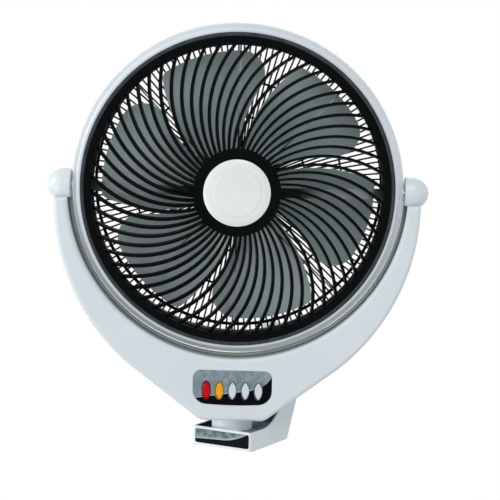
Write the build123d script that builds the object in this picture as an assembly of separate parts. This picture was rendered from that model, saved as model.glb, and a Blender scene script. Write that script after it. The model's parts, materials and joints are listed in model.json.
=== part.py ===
from build123d import *
import math
import os

# Wall fan: a bracket on the wall, a crescent yoke that swings on a stem, a head that
# tilts between the yoke's arms, and a six-bladed rotor that spins in the head.
# Millimetres, +Z up. The wall is the plane y = 0 and the fan looks towards -Y.
# The origin is the centre of the four screw holes in the wall plate.
# Yoke and head are drafted in a face frame: x right, y up, z towards the viewer,
# with its origin on the tilt axis, midway between the two pivots.

os.makedirs("parts", exist_ok=True)

# Driving places and rest pose
wall_reach = 215.0          # wall to the stem's axis
head_rise = 262.0           # screw pattern's centre up to the tilt axis
stem_back = 8.0             # tilt axis back to the stem's axis
swing_rest = 28.0           # degrees, yoke turned towards +X at rest
tilt_rest = 3.0             # degrees, head looking down at rest

# Fits shared by several pieces
run_gap = 0.06              # radial clearance of a turning pin or shaft
seat_gap = 0.3              # clearance between pieces that only sit together
cut_over = 5.0              # how far a cutting tool runs past the piece it cuts

# Head, from its largest radius inwards; heights above the tilt axis
shroud_r = 241.0            # largest radius, on the bead
shroud_lip_step = 6.5       # bead in to the lip
shroud_lip_wide = 6.2       # lip in to the black ring
ring_bead_wide = 5.0
ring_flat_wide = 11.0
ring_front_z = 25.0
ring_bead_height = 2.2
shroud_lip_z = 20.0
shroud_lip_drop = 1.0       # front of the lip behind the front of the black ring
shroud_groove_z = 12.5
shroud_bead_z = 7.5
shroud_waist_z = -6.0       # where the drum starts to draw in
shroud_mid_step = 3.5       # how far the drum has drawn in halfway back
shroud_mid_z = -34.0
shroud_rear_step = 11.0     # how far it has drawn in at the rear
shroud_rear_z = -60.0
shroud_rear_wide = 8.5      # turned-in rear edge
shroud_wall = 2.6
ledge_z = 14.0              # front of the flange that carries ring and grille
ledge_hidden = 4.5          # flange's inner edge behind the black ring

# Swirl grille
slat_count = 60
slat_thick = 3.2
slat_cant = 11.0            # degrees, a slat's rear edge leans clockwise
slat_bite = 1.2             # how far a slat runs into the rim ring
slat_depth = 8.0
slat_rim_depth = 6.0
slat_turn = 29.0            # degrees that a slat turns back from hub to rim
slat_mid_turn_share = 0.40
slat_mid_r_share = 0.46
slat_spans = 7              # straight stretches that make up a slat
dome_rim_z = 20.5           # front of the slats at the rim
dome_hub_z = 46.0           # front of the slats at the hub ring
rim_ring_hidden = 2.4       # rim ring's inner edge behind the black ring
rim_ring_skirt = 2.3        # skirt of the black ring round the rim ring
hub_ring_r = 63.5
hub_ring_bore_r = 48.6
hub_ring_rise = 2.2
hub_ring_floor = 4.0
hub_ring_shelf = 4.5
hub_step_r = 57.7
hub_step = 0.9
hub_ring_foot = 0.6         # how far the hub ring reaches behind the slats

# Supports behind the slats
spider_arm_wide = 14.0
spider_arm_thin = 2.2
spider_depth = 4.0
spider_hub_in_r = 50.0
spider_hub_out_r = 62.0
spider_rim_wide = 5.4

# Pale cap on the hub ring
cap_rise = 5.5
cap_step_r = 34.5
cap_step = 0.8
cap_edge_drop = 3.2
cap_wall = 2.4

# Rotor
tip_inset = 13.0            # blade tips inside the black ring's edge
blade_count = 6
blade_thick = 2.2
blade_mid_z = -21.0
blade_span = 53.5           # degrees that one blade covers
blade_lean = 21.0           # degrees that its edges lean forward, hub to tip
blade_rest = 48.5           # degrees, middle of the first blade at rest
blade_camber = 7.0
blade_lead_corner_r = 34.0
blade_trail_corner_r = 13.0
blade_root_pitch = 40.0
blade_mid_pitch = 21.0
blade_tip_pitch = 13.5
impeller_hub_r = 56.0
impeller_front_z = 8.0
impeller_rear_z = -46.0
impeller_wall = 2.6
impeller_boss_r = 12.0
impeller_nose_r = 12.0      # rounding of the hub's front edge
nut_r = 9.0
nut_height = 6.0

# Rear grille: straight ribs laid on rings and on the motor plate
rib_count = 152
rib_width = 2.6
rib_depth = 2.6
rib_lap = 2.5               # ribs' ends, over the motor plate and the outer rim
rib_seat = 0.05             # ribs lie on the rings with this much glue
rear_plate_z = -54.0        # plane where ribs and rings meet
rear_ring_shares = (0.439, 0.667, 0.921)    # ring radii, of the drum's rear radius
rear_ring_widths = (3.0, 3.0, 4.4)
rear_ring_depth = 3.0
motor_plate_r = 66.0
motor_plate_thick = 3.0

# Motor behind the rear grille
motor_r = 48.0
motor_length = 50.0
shaft_r = 4.0
shaft_front_z = 15.0
cover_r = 56.0
cover_depth = 60.0
cover_wall = 2.2
cover_slots = 8
cover_slot_width = 5.0
cover_slot_length = 24.0

# Pivots
pivot_pin_r = 5.0
pivot_boss_r = 13.0
pivot_boss_depth = 13.0
pivot_flat = 0.2            # depth of the flat spot on the shroud
pivot_clear = 1.9           # flat spot out to the cap
cap_height = 34.8
cap_r = 24.0
cap_barrel = 9.0            # straight stretch before the dome
cap_foot_edge = 1.5         # bevel at the edge that faces the shroud
cap_cut_y = -17.0           # where a cap stands on its arm
pin_in_cap = 20.0

# Yoke
yoke_front_gap = 6.0        # round the shroud, in front
yoke_rear_gap = 2.0         # round the shroud, behind the parting plane
yoke_arm_wide = 19.0        # arm where a cap stands on it
yoke_side_shares = (0.927, 0.676)       # a place on the outer edge halfway down, of the inner radius
yoke_shoulder_shares = (0.622, 1.048)   # where the outer edge runs straight towards the neck
yoke_front_z = 25.0
yoke_rear_z = -15.0
yoke_part_z = 2.0           # parting plane of the two shells
yoke_wall = 3.0
yoke_front_round = 6.0
yoke_rear_bevel = 5.0
neck_drop = 92.5            # yoke's inner edge down to the neck's foot
neck_half = 46.8
neck_corner_round = 22.0
neck_top_drop = 21.0        # yoke's inner edge down to the top of the rear bulge
neck_rear_z = -34.0
neck_rear_half = 44.0

# Control panel and buttons
panel_drop = 43.5           # yoke's inner edge down to the panel's middle
panel_half = 57.5
panel_height = 51.0
panel_bow = 3.0
panel_top_corner_r = 11.0
panel_bottom_corner_r = 20.0
panel_sink = 1.0
panel_thick = 4.0
panel_flange = 3.0
panel_flange_thick = 2.4
panel_chamfer = 1.4
button_names = ("button_off", "button_swing", "button_high", "button_mid", "button_low")
button_pitch = 19.0
button_drop = 3.7
button_half_width = 5.4
button_half_height = 12.4
button_proud = 2.4
button_edge = 0.6
button_gap = 0.35
button_base_rim = 1.6
button_base_thick = 3.0
button_travel = 1.5
board_half = 54.0
board_height = 42.0
board_thick = 1.6
board_z = 5.0
switch_side = 6.0
switch_height = 4.0
switch_plunger = 3.4
rail_thick = 2.0            # rails behind the panel that the board is fixed to

# Stem, gear and swing motor, heights measured from the tilt axis
stem_half_width = 30.0
stem_half_depth = 20.0
spigot_inset = 4.0
spigot_height = 21.0
journal_r = 12.0
gear_module = 2.0
gear_teeth = 32
gear_sector_teeth = 10
gear_heading = 90.0         # degrees, the way that the toothed sector faces
gear_thick = 5.0
gear_disc_r = 23.0
pinion_teeth = 12
pinion_shaft_r = 2.5
tooth_slack = 0.25          # taken off each flank
thrust_thick = 1.5
thrust_r = 20.0
swing_motor_r = 18.0
swing_motor_offset = 14.0
swing_motor_height = 15.5

# Bracket, heights measured from the tilt axis and lengths from the stem's axis
tray_front = 30.0
tray_half = 50.0
tray_gap = 13.5             # neck's foot down to the tray's rim
tray_height = 28.0
tray_rear = 82.0
tray_wall = 2.6
tray_rear_wall = 3.9        # slanted rear wall, measured level
tray_corner_r = 6.0
riser_front = 70.0
arm_lift = 91.0             # tray's rim up to the top of the arm
arm_height = 34.0
arm_elbow_top = 108.0
arm_elbow_bottom = 124.0
sweep_depth_shares = (0.32, 0.53, 0.72, 0.90)   # side wall's top edge, of riser_front
sweep_rise_shares = (0.05, 0.20, 0.43, 0.68)    # its rise, of sweep_rise
sweep_rise = 36.0
sweep_start_share = 0.12    # where the side wall's top edge starts to rise, of riser_front
riser_lean = 7.8            # how far the riser leans back on its way up
riser_bevel = 10.4          # bevel where riser and arm meet
floor_thick = 2.6
floor_short = 5.0           # floor's rear edge ahead of the slanted wall
bearing_post_r = 19.0
liner_wall = 1.6
liner_drop = 1.0
motor_box_half = 22.0
motor_box_depth = 11.0
motor_box_height = 26.0
post_side_r = 4.0
post_inset = 6.0
flange_half_width = 60.0
flange_half_height = 36.0
flange_depth = 16.0
flange_corner_r = 8.0
plate_thick = 3.0
hole_r = 2.75
hole_half_x = 42.0
hole_half_z = 24.0
badge_half = 45.0
badge_height = 20.5
badge_thick = 1.2
badge_corner_r = 3.0

# Values worked out from the sizes above
shroud_lip_r = shroud_r - shroud_lip_step
ring_outer_r = shroud_lip_r - shroud_lip_wide - seat_gap
ring_bead_r = ring_outer_r - ring_bead_wide
ring_inner_r = ring_bead_r - ring_flat_wide
shroud_mid_r = shroud_r - shroud_mid_step
shroud_rear_r = shroud_r - shroud_rear_step
rear_rim_inner_r = shroud_rear_r - shroud_rear_wide
ledge_inner_r = ring_inner_r + ledge_hidden
rim_ring_inner_r = ring_inner_r + rim_ring_hidden
rim_ring_outer_r = ring_outer_r - rim_ring_skirt - seat_gap
spider_rim_in_r = rim_ring_inner_r - spider_rim_wide
tip_r = ring_inner_r - tip_inset
pivot_face_x = shroud_r - pivot_flat
cap_inner_x = pivot_face_x + pivot_clear
cap_outer_x = cap_inner_x + cap_height
yoke_inner_r = shroud_r + yoke_front_gap
yoke_rear_inner_r = shroud_r + yoke_rear_gap
neck_bottom_y = -yoke_inner_r - neck_drop
neck_top_y = -yoke_inner_r - neck_top_drop
panel_y = -yoke_inner_r - panel_drop
tray_rim_y = neck_bottom_y - tray_gap
tray_floor_y = tray_rim_y - tray_height
arm_top_y = tray_rim_y + arm_lift
arm_bottom_y = arm_top_y - arm_height
dome_centre_z = ((hub_ring_r ** 2 + dome_hub_z ** 2) - (rim_ring_inner_r ** 2 + dome_rim_z ** 2)) \
    / (2 * (dome_hub_z - dome_rim_z))
dome_r = math.hypot(hub_ring_r, dome_hub_z - dome_centre_z)
hub_low_z = dome_hub_z - slat_depth - hub_ring_foot
motor_front_z = rear_plate_z - motor_plate_thick
motor_rear_z = motor_front_z - motor_length
gear_pitch_r = gear_module * gear_teeth / 2
pinion_pitch_r = gear_module * pinion_teeth / 2
pinion_back = gear_pitch_r + pinion_pitch_r
liner_y = tray_rim_y - liner_drop
gear_top_y = liner_y - liner_wall - seat_gap - seat_gap
gear_low_y = gear_top_y - gear_thick
thrust_top_y = gear_low_y - seat_gap
floor_top_y = tray_floor_y + floor_thick
panel_front_z = yoke_front_z - panel_sink
panel_rear_z = panel_front_z - panel_thick
panel_flange_z = yoke_front_z - yoke_wall - seat_gap
board_top_z = board_z + board_thick
button_base_z = panel_flange_z - panel_flange_thick - seat_gap
plunger_top_z = button_base_z - button_base_thick - button_travel - seat_gap
cap_front_z = dome_hub_z + hub_ring_rise + cap_rise

yoke_pose = Pos(0, -wall_reach, 0) * Rot(0, 0, swing_rest) * Pos(0, -stem_back, head_rise) * Rot(90, 0, 0)
head_pose = yoke_pose * Rot(tilt_rest, 0, 0)
bracket_pose = Pos(0, -wall_reach, head_rise)


def save(name, shape, pose=Location()):
    # Put a finished piece in its place and write it under its node's name.
    placed = pose * shape
    placed.label = name
    export_step(placed, "parts/" + name + ".step")
    return placed


def polar(radius, degrees):
    # A point of the face plane by its radius and angle.
    return (radius * math.cos(math.radians(degrees)), radius * math.sin(math.radians(degrees)))


def turned(*points):
    # A solid of revolution about z from (radius, height) points.
    section = make_face(Polyline(*[(r, 0, z) for r, z in points], close=True))
    return revolve(section, Axis.Z)


def disc(radius, low_z, high_z):
    # A cylinder about z between two heights.
    return extrude(Pos(0, 0, low_z) * Circle(radius), high_z - low_z)


def tube(outer, inner, low_z, high_z):
    # A plain ring about z between two heights.
    return extrude(Pos(0, 0, low_z) * (Circle(outer) - Circle(inner)), high_z - low_z)


def group(pieces):
    # Several separate solids that share one node.
    return Compound(children=list(pieces))


# Head: black ring with its grey bead
def bezel_ring():
    under_z = dome_z(ring_inner_r) + seat_gap
    bead_mid_r = (ring_bead_r + ring_outer_r) / 2
    bead_top = ring_front_z + ring_bead_height
    skirt_in_r = rim_ring_outer_r + seat_gap
    profile = [
        Line((ring_inner_r, 0, under_z), (ring_inner_r, 0, ring_front_z)),
        Line((ring_inner_r, 0, ring_front_z), (ring_bead_r, 0, ring_front_z)),
        ThreePointArc((ring_bead_r, 0, ring_front_z), (bead_mid_r, 0, bead_top), (ring_outer_r, 0, ring_front_z)),
        Line((ring_outer_r, 0, ring_front_z), (ring_outer_r, 0, ledge_z)),
        Line((ring_outer_r, 0, ledge_z), (skirt_in_r, 0, ledge_z)),
        Line((skirt_in_r, 0, ledge_z), (skirt_in_r, 0, under_z)),
        Line((skirt_in_r, 0, under_z), (ring_inner_r, 0, under_z)),
    ]
    return revolve(make_face(profile), Axis.Z)


# Head: pale drum with lip, groove, bead and the flange inside
def shroud():
    lip_in_r = ring_outer_r + seat_gap
    lip_top_z = ring_front_z - shroud_lip_drop
    lip_mid_r = (lip_in_r + shroud_lip_r) / 2
    bead_in_r = shroud_r - shroud_wall / 2
    outer = [
        Line((lip_in_r, 0, ledge_z), (lip_in_r, 0, lip_top_z)),
        Line((lip_in_r, 0, lip_top_z), (lip_mid_r, 0, lip_top_z)),
        Line((lip_mid_r, 0, lip_top_z), (shroud_lip_r, 0, shroud_lip_z)),
        Line((shroud_lip_r, 0, shroud_lip_z), (shroud_lip_r, 0, shroud_groove_z)),
        Line((shroud_lip_r, 0, shroud_groove_z), (bead_in_r, 0, shroud_groove_z)),
        Line((bead_in_r, 0, shroud_groove_z), (shroud_r, 0, shroud_bead_z)),
        Line((shroud_r, 0, shroud_bead_z), (shroud_r, 0, shroud_waist_z)),
        ThreePointArc((shroud_r, 0, shroud_waist_z), (shroud_mid_r, 0, shroud_mid_z),
                      (shroud_rear_r, 0, shroud_rear_z)),
        Line((shroud_rear_r, 0, shroud_rear_z), (rear_rim_inner_r, 0, shroud_rear_z)),
        Line((rear_rim_inner_r, 0, shroud_rear_z), (rear_rim_inner_r, 0, shroud_rear_z + shroud_wall)),
        Line((rear_rim_inner_r, 0, shroud_rear_z + shroud_wall),
             (shroud_rear_r - shroud_wall, 0, shroud_rear_z + shroud_wall)),
        Line((shroud_rear_r - shroud_wall, 0, shroud_rear_z + shroud_wall),
             (shroud_r - shroud_wall, 0, shroud_waist_z)),
        Line((shroud_r - shroud_wall, 0, shroud_waist_z), (shroud_r - shroud_wall, 0, ledge_z - shroud_wall)),
        Line((shroud_r - shroud_wall, 0, ledge_z - shroud_wall), (ledge_inner_r, 0, ledge_z - shroud_wall)),
        Line((ledge_inner_r, 0, ledge_z - shroud_wall), (ledge_inner_r, 0, ledge_z)),
        Line((ledge_inner_r, 0, ledge_z), (lip_in_r, 0, ledge_z)),
    ]
    drum = revolve(make_face(outer), Axis.Z)
    for side in (-1, 1):
        along = Rot(0, 90 * side, 0)
        boss = along * disc(pivot_boss_r, pivot_face_x - pivot_boss_depth, pivot_face_x)
        bore = along * disc(pivot_pin_r + run_gap, pivot_face_x - pivot_boss_depth - cut_over,
                            pivot_face_x + cut_over)
        drum = drum + boss - bore
    return drum


# Head: sixty swirl slats between a rim ring and a hub ring
def dome_shell(depth_from, depth_to):
    # The space between two spheres that follow the front of the slats.
    outer = Pos(0, 0, dome_centre_z) * Sphere(dome_r - depth_from)
    inner = Pos(0, 0, dome_centre_z) * Sphere(dome_r - depth_to)
    keep = disc(rim_ring_outer_r, 0, dome_hub_z + cap_rise)
    return outer & keep - inner


def slat_section(share):
    # The slat's upright section at a share of the way from hub ring to rim ring.
    start_r = hub_ring_r - slat_thick / 2
    end_r = rim_ring_inner_r + slat_bite
    radius = start_r + (end_r - start_r) * share
    # A parabola gives the turn: slow by the hub and faster towards the rim.
    bend = (slat_mid_turn_share - slat_mid_r_share) / (slat_mid_r_share * (slat_mid_r_share - 1))
    turn = slat_turn * (share + bend * share * (share - 1))
    turn_rate = slat_turn * (1 + bend * (2 * share - 1))
    lean = math.degrees(math.atan2(radius * math.radians(turn_rate), end_r - start_r))
    x, y = polar(radius, -turn)
    along_x, along_y = polar(1, -turn - lean)
    side = math.sin(math.radians(slat_cant))
    up = (-along_y * side, along_x * side, math.cos(math.radians(slat_cant)))
    depth = slat_depth + (slat_rim_depth - slat_depth) * share
    plane = Plane(origin=(x, y, dome_z(radius) - depth / 2), x_dir=up, z_dir=(along_x, along_y, 0))
    return plane * Rectangle(depth, slat_thick)


def dome_z(radius):
    # Height of the slats' front above the tilt axis at a radius.
    return dome_centre_z + math.sqrt(dome_r ** 2 - radius ** 2)


def front_grille():
    slat = loft([slat_section(index / slat_spans) for index in range(slat_spans + 1)], ruled=True)
    slats = [Rot(0, 0, index * 360 / slat_count) * slat for index in range(slat_count)]
    rim_top_z = dome_z(ring_inner_r)
    rim = tube(rim_ring_outer_r, rim_ring_inner_r, ledge_z, rim_top_z)
    hub_top_z = dome_hub_z + hub_ring_rise
    shelf_top_z = hub_low_z + hub_ring_shelf
    hub = turned((hub_ring_bore_r - hub_ring_floor, hub_low_z), (hub_ring_r, hub_low_z),
                 (hub_ring_r, hub_top_z - hub_step), (hub_step_r, hub_top_z - hub_step),
                 (hub_step_r, hub_top_z), (hub_ring_bore_r, hub_top_z),
                 (hub_ring_bore_r, shelf_top_z), (hub_ring_bore_r - hub_ring_floor, shelf_top_z))
    return hub.fuse(rim, *slats)


def grille_spider():
    near = slat_depth + 2 * seat_gap
    shell = dome_shell(near, near + spider_depth)
    bars = Sketch()
    for index in range(4):
        width = spider_arm_wide if index == 0 else spider_arm_thin
        bars += Rot(0, 0, index * 45) * Rectangle(2 * (spider_rim_in_r + spider_depth), width)
    plan = bars - Circle(spider_hub_in_r + spider_depth)
    plan += Circle(spider_hub_out_r) - Circle(spider_hub_in_r)
    plan += Circle(rim_ring_inner_r) - Circle(spider_rim_in_r)
    under_hub = disc(hub_ring_r + seat_gap, hub_low_z - seat_gap, dome_hub_z)
    return (extrude(plan, dome_hub_z) & shell) - under_hub


def hub_cap():
    top = cap_front_z
    seat_z = hub_low_z + hub_ring_shelf
    edge_r = hub_ring_bore_r - seat_gap
    edge_z = top - cap_edge_drop
    profile = [
        Line((0, 0, top), (cap_step_r - cap_step, 0, top - cap_step / 2)),
        Line((cap_step_r - cap_step, 0, top - cap_step / 2), (cap_step_r, 0, top - cap_step * 2)),
        ThreePointArc((cap_step_r, 0, top - cap_step * 2),
                      ((cap_step_r + edge_r) / 2 + cap_step, 0, top - cap_step * 2 - cap_step / 2),
                      (edge_r, 0, edge_z - cap_step)),
        Line((edge_r, 0, edge_z - cap_step), (edge_r, 0, seat_z)),
        Line((edge_r, 0, seat_z), (edge_r - cap_wall, 0, seat_z)),
        Line((edge_r - cap_wall, 0, seat_z), (edge_r - cap_wall, 0, edge_z - cap_wall * 2)),
        Line((edge_r - cap_wall, 0, edge_z - cap_wall * 2), (0, 0, top - cap_wall * 2)),
        Line((0, 0, top - cap_wall * 2), (0, 0, top)),
    ]
    return revolve(make_face(profile), Axis.Z)


# Head: ribs laid on three rings, a motor plate and an outer rim
def rear_grille():
    pieces = []
    plate_low_z = rear_plate_z - motor_plate_thick
    plate = tube(motor_plate_r, impeller_boss_r, plate_low_z, rear_plate_z)
    pieces.append(plate)
    for share, width in zip(rear_ring_shares, rear_ring_widths):
        radius = share * shroud_rear_r
        pieces.append(tube(radius + width / 2, radius - width / 2, rear_plate_z - rear_ring_depth, rear_plate_z))
    rim_outer_r = shroud_rear_r - shroud_wall - seat_gap
    pieces.append(tube(rim_outer_r, rear_rim_inner_r, shroud_rear_z + shroud_wall, rear_plate_z))
    start_r = motor_plate_r - rib_lap
    end_r = rim_outer_r - rib_lap
    foot_z = rear_plate_z + rib_seat
    section = Plane(origin=(start_r, 0, 0), x_dir=(0, 1, 0), z_dir=(1, 0, 0))
    blade_like = make_face(Polyline((-rib_width / 2, foot_z), (rib_width / 2, foot_z), (0, foot_z + rib_depth),
                                    close=True))
    rib = extrude(section * blade_like, end_r - start_r)
    for index in range(rib_count):
        pieces.append(Rot(0, 0, (index + 0.5) * 360 / rib_count) * rib)
    return group(pieces)


# Rotor: six forward-swept blades on a cup-shaped hub
def blade_section(radius, pitch, half_chord, shift):
    # A thin cambered strip across the blade, its leading edge low and towards -y.
    rise = half_chord * math.tan(math.radians(pitch))
    half = blade_thick / 2
    low = blade_mid_z - half
    high = blade_mid_z + half
    lead = -half_chord + shift
    trail = half_chord + shift
    return make_face([
        ThreePointArc((radius, lead, low - rise), (radius, shift, low - blade_camber), (radius, trail, low + rise)),
        Line((radius, trail, low + rise), (radius, trail, high + rise)),
        ThreePointArc((radius, trail, high + rise), (radius, shift, high - blade_camber),
                      (radius, lead, high - rise)),
        Line((radius, lead, high - rise), (radius, lead, low - rise)),
    ])


def blade_plan():
    # The blade's outline from the front, about the +x direction.
    root_r = impeller_hub_r - impeller_wall
    mid_r = (root_r + tip_r) / 2
    edges = []
    for side in (-1, 1):
        row = []
        for radius in (root_r, mid_r, tip_r):
            lean = blade_lean * ((tip_r + root_r) / 2 - radius) / (tip_r - root_r)
            row.append(polar(radius, lean + side * blade_span / 2))
        edges.append(row)
    lead, trail = edges
    lean_tip = -blade_lean / 2
    top = polar(tip_r, lean_tip)
    outline = make_face([ThreePointArc(*lead), ThreePointArc(lead[2], top, trail[2]), ThreePointArc(*trail),
                         Line(trail[0], lead[0])])
    corners = outline.vertices()
    lead_tip = corners.sort_by_distance(lead[2])[0]
    outline = fillet(lead_tip, blade_lead_corner_r)
    trail_tip = outline.vertices().sort_by_distance(trail[2])[0]
    return fillet(trail_tip, blade_trail_corner_r)


def blade():
    margin = math.radians(blade_span / 2 + blade_lean / 2)
    sections = []
    root_r = impeller_hub_r - 2 * impeller_wall
    end_r = tip_r + blade_thick
    mid_r = (root_r + end_r) / 2
    for radius, pitch in ((root_r, blade_root_pitch), (mid_r, blade_mid_pitch), (end_r, blade_tip_pitch)):
        lean = math.radians(blade_lean * (mid_r - radius) / (end_r - root_r))
        sections.append(blade_section(radius, pitch, radius * math.sin(margin), radius * math.sin(lean)))
    sheet = loft(sections)
    height = abs(impeller_rear_z) + impeller_front_z + tip_r
    prism = extrude(Pos(0, 0, blade_mid_z - height / 2) * blade_plan(), height)
    return sheet & prism


def impeller():
    front = impeller_front_z
    nose = impeller_nose_r
    skin = impeller_wall
    cup = [
        Line((shaft_r, 0, front), (impeller_hub_r - nose, 0, front)),
        ThreePointArc((impeller_hub_r - nose, 0, front),
                      (impeller_hub_r - nose * (1 - math.sqrt(0.5)), 0, front - nose * (1 - math.sqrt(0.5))),
                      (impeller_hub_r, 0, front - nose)),
        Line((impeller_hub_r, 0, front - nose), (impeller_hub_r, 0, impeller_rear_z)),
        Line((impeller_hub_r, 0, impeller_rear_z), (impeller_hub_r - skin, 0, impeller_rear_z)),
        Line((impeller_hub_r - skin, 0, impeller_rear_z), (impeller_hub_r - skin, 0, front - nose)),
        Line((impeller_hub_r - skin, 0, front - nose), (impeller_boss_r, 0, front - nose)),
        Line((impeller_boss_r, 0, front - nose), (impeller_boss_r, 0, impeller_rear_z)),
        Line((impeller_boss_r, 0, impeller_rear_z), (shaft_r, 0, impeller_rear_z)),
        Line((shaft_r, 0, impeller_rear_z), (shaft_r, 0, front)),
    ]
    hub = revolve(make_face(cup), Axis.Z)
    one = blade() - disc(impeller_hub_r - skin / 2, impeller_rear_z - tip_r, front + tip_r)
    blades = [Rot(0, 0, blade_rest + index * 360 / blade_count) * one for index in range(blade_count)]
    return hub.fuse(*blades)


def blade_nut():
    low = impeller_front_z
    return extrude(Pos(0, 0, low) * RegularPolygon(nut_r, 6), nut_height) - disc(shaft_r, low, low + nut_height)


# Motor: the can that the shaft runs in, and the vented rear cover
def motor_case():
    # Two drawn cups welded into one can, with the shaft's bearings pressed in its ends.
    return tube(motor_r, shaft_r + run_gap, motor_rear_z, motor_front_z)


def motor_cover():
    top = motor_front_z
    low = top - cover_depth
    nose = cover_r - motor_r
    skin = cover_wall
    cup = turned((cover_r, top), (cover_r, low + nose), (cover_r - nose, low), (0, low), (0, low + skin),
                 (cover_r - nose, low + skin), (cover_r - skin, low + nose), (cover_r - skin, top))
    slot = Pos(cover_r - nose - cover_slot_length / 2, 0, low) * Box(cover_slot_length, cover_slot_width, skin * 4)
    slots = [Rot(0, 0, index * 360 / cover_slots) * slot for index in range(cover_slots)]
    return cup.cut(*slots)


# Pivots between head and yoke
def pivot_cap():
    dome_start = cap_inner_x + cap_barrel
    edge = cap_foot_edge
    dome_mid = (cap_r * math.sqrt(0.5), 0, dome_start + (cap_outer_x - dome_start) * math.sqrt(0.5))
    profile = [
        Line((0, 0, cap_inner_x), (cap_r - edge, 0, cap_inner_x)),
        Line((cap_r - edge, 0, cap_inner_x), (cap_r, 0, cap_inner_x + edge)),
        Line((cap_r, 0, cap_inner_x + edge), (cap_r, 0, dome_start)),
        Spline((cap_r, 0, dome_start), dome_mid, (0, 0, cap_outer_x), tangents=((0, 0, 1), (-1, 0, 0))),
        Line((0, 0, cap_outer_x), (0, 0, cap_inner_x)),
    ]
    body = Rot(0, 90, 0) * revolve(make_face(profile), Axis.Z)
    foot = Pos((cap_inner_x + cap_outer_x) / 2, cap_cut_y - cap_r / 2, 0) * Box(2 * cap_r, cap_r, 3 * cap_r)
    bore = Rot(0, 90, 0) * disc(pivot_pin_r, cap_inner_x - cut_over, cap_inner_x + pin_in_cap)
    return body - foot - bore


def both_sides(shape):
    # A piece and its mirror image on the other side of the head.
    return group([shape, mirror(shape, Plane.YZ)])


def pivot_pin():
    return Rot(0, 90, 0) * disc(pivot_pin_r, pivot_face_x - pivot_boss_depth, cap_inner_x + pin_in_cap)


# Yoke: crescent outline, two shells
def yoke_outline(inner_r):
    # The crescent from the front, round a head-shaped opening of the given radius.
    inner_top_x = math.sqrt(inner_r ** 2 - cap_cut_y ** 2)
    side_x, side_y = [share * yoke_inner_r for share in yoke_side_shares]
    shoulder_x, shoulder_y = [share * yoke_inner_r for share in yoke_shoulder_shares]
    lines = [Line((-neck_half, neck_bottom_y), (neck_half, neck_bottom_y)),
             ThreePointArc((-inner_top_x, cap_cut_y), (0, -inner_r), (inner_top_x, cap_cut_y))]
    for side in (-1, 1):
        arm_top = (side * (yoke_inner_r + yoke_arm_wide), cap_cut_y)
        shoulder = (side * shoulder_x, -shoulder_y)
        lines.append(Line((side * inner_top_x, cap_cut_y), arm_top))
        lines.append(ThreePointArc(arm_top, (side * side_x, -side_y), shoulder))
        lines.append(Line(shoulder, (side * neck_half, neck_bottom_y)))
    face = make_face(lines)
    for side in (-1, 1):
        corner = face.vertices().sort_by_distance((side * neck_half, neck_bottom_y))[0]
        face = fillet(corner, neck_corner_round)
    return face


def eased_slab(face, low_z, high_z, eased_z, size, ease=fillet):
    # An extruded face with the edges of one of its two ends rounded or bevelled.
    slab = extrude(Pos(0, 0, low_z) * face, high_z - low_z)
    return ease(slab.edges().filter_by_position(Axis.Z, eased_z, eased_z), size)


def panel_face(grow=0.0):
    # The panel's outline: rounded corners and a bowed lower edge.
    top = panel_y + panel_height / 2
    low = panel_y - panel_height / 2
    corner_y = low + panel_bow
    face = make_face([
        Line((-panel_half, top), (panel_half, top)),
        Line((panel_half, top), (panel_half, corner_y)),
        ThreePointArc((panel_half, corner_y), (0, low), (-panel_half, corner_y)),
        Line((-panel_half, corner_y), (-panel_half, top)),
    ])
    for side in (-1, 1):
        for y, radius in ((top, panel_top_corner_r), (corner_y, panel_bottom_corner_r)):
            corner = face.vertices().sort_by_distance((side * panel_half, y))[0]
            face = fillet(corner, radius)
    return offset(face, grow) if grow else face


def stem_ellipse(inset, grow=0.0):
    # The stem's oval section, drawn in the horizontal plane of the face frame.
    plane = Plane(origin=(0, 0, -stem_back), x_dir=(1, 0, 0), z_dir=(0, 1, 0))
    return plane * Ellipse(stem_half_width - inset + grow, stem_half_depth - inset + grow)


def spigot_hole():
    hole = Pos(0, neck_bottom_y - cut_over, 0) * stem_ellipse(spigot_inset, seat_gap)
    return extrude(hole, yoke_wall + 2 * cut_over, dir=(0, 1, 0))


def yoke_front_shell():
    outline = yoke_outline(yoke_inner_r)
    body = eased_slab(outline, yoke_part_z, yoke_front_z, yoke_front_z, yoke_front_round)
    hollow = extrude(Pos(0, 0, yoke_part_z) * offset(outline, -yoke_wall), yoke_front_z - yoke_wall - yoke_part_z)
    window = extrude(Pos(0, 0, yoke_part_z) * panel_face(), yoke_front_z - yoke_part_z)
    body = body - hollow - window
    around = panel_face(panel_flange).bounding_box()
    rim = [edge for edge in body.edges().filter_by_position(Axis.Z, yoke_front_z, yoke_front_z)
           if abs(edge.center().X) < around.max.X and around.min.Y < edge.center().Y < around.max.Y]
    body = chamfer(rim, panel_chamfer)
    return body - spigot_hole()


def yoke_rear_shell():
    outline = yoke_outline(yoke_rear_inner_r)
    body = eased_slab(outline, yoke_rear_z, yoke_part_z, yoke_rear_z, yoke_rear_bevel, chamfer)
    neck_mid_y = (neck_bottom_y + neck_top_y) / 2
    bulge_plan = Pos(0, neck_mid_y) * RectangleRounded(2 * neck_rear_half, neck_top_y - neck_bottom_y,
                                                       neck_corner_round)
    bulge = eased_slab(bulge_plan, neck_rear_z, yoke_part_z, neck_rear_z, yoke_rear_bevel, chamfer)
    body += bulge
    hollow = extrude(Pos(0, 0, yoke_rear_z + yoke_wall) * offset(outline, -yoke_wall),
                     yoke_part_z - yoke_rear_z - yoke_wall)
    deep = extrude(Pos(0, 0, neck_rear_z + yoke_wall) * offset(bulge_plan, -yoke_wall),
                   yoke_part_z - neck_rear_z - yoke_wall)
    body = body - hollow - deep
    return body - spigot_hole()


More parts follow.
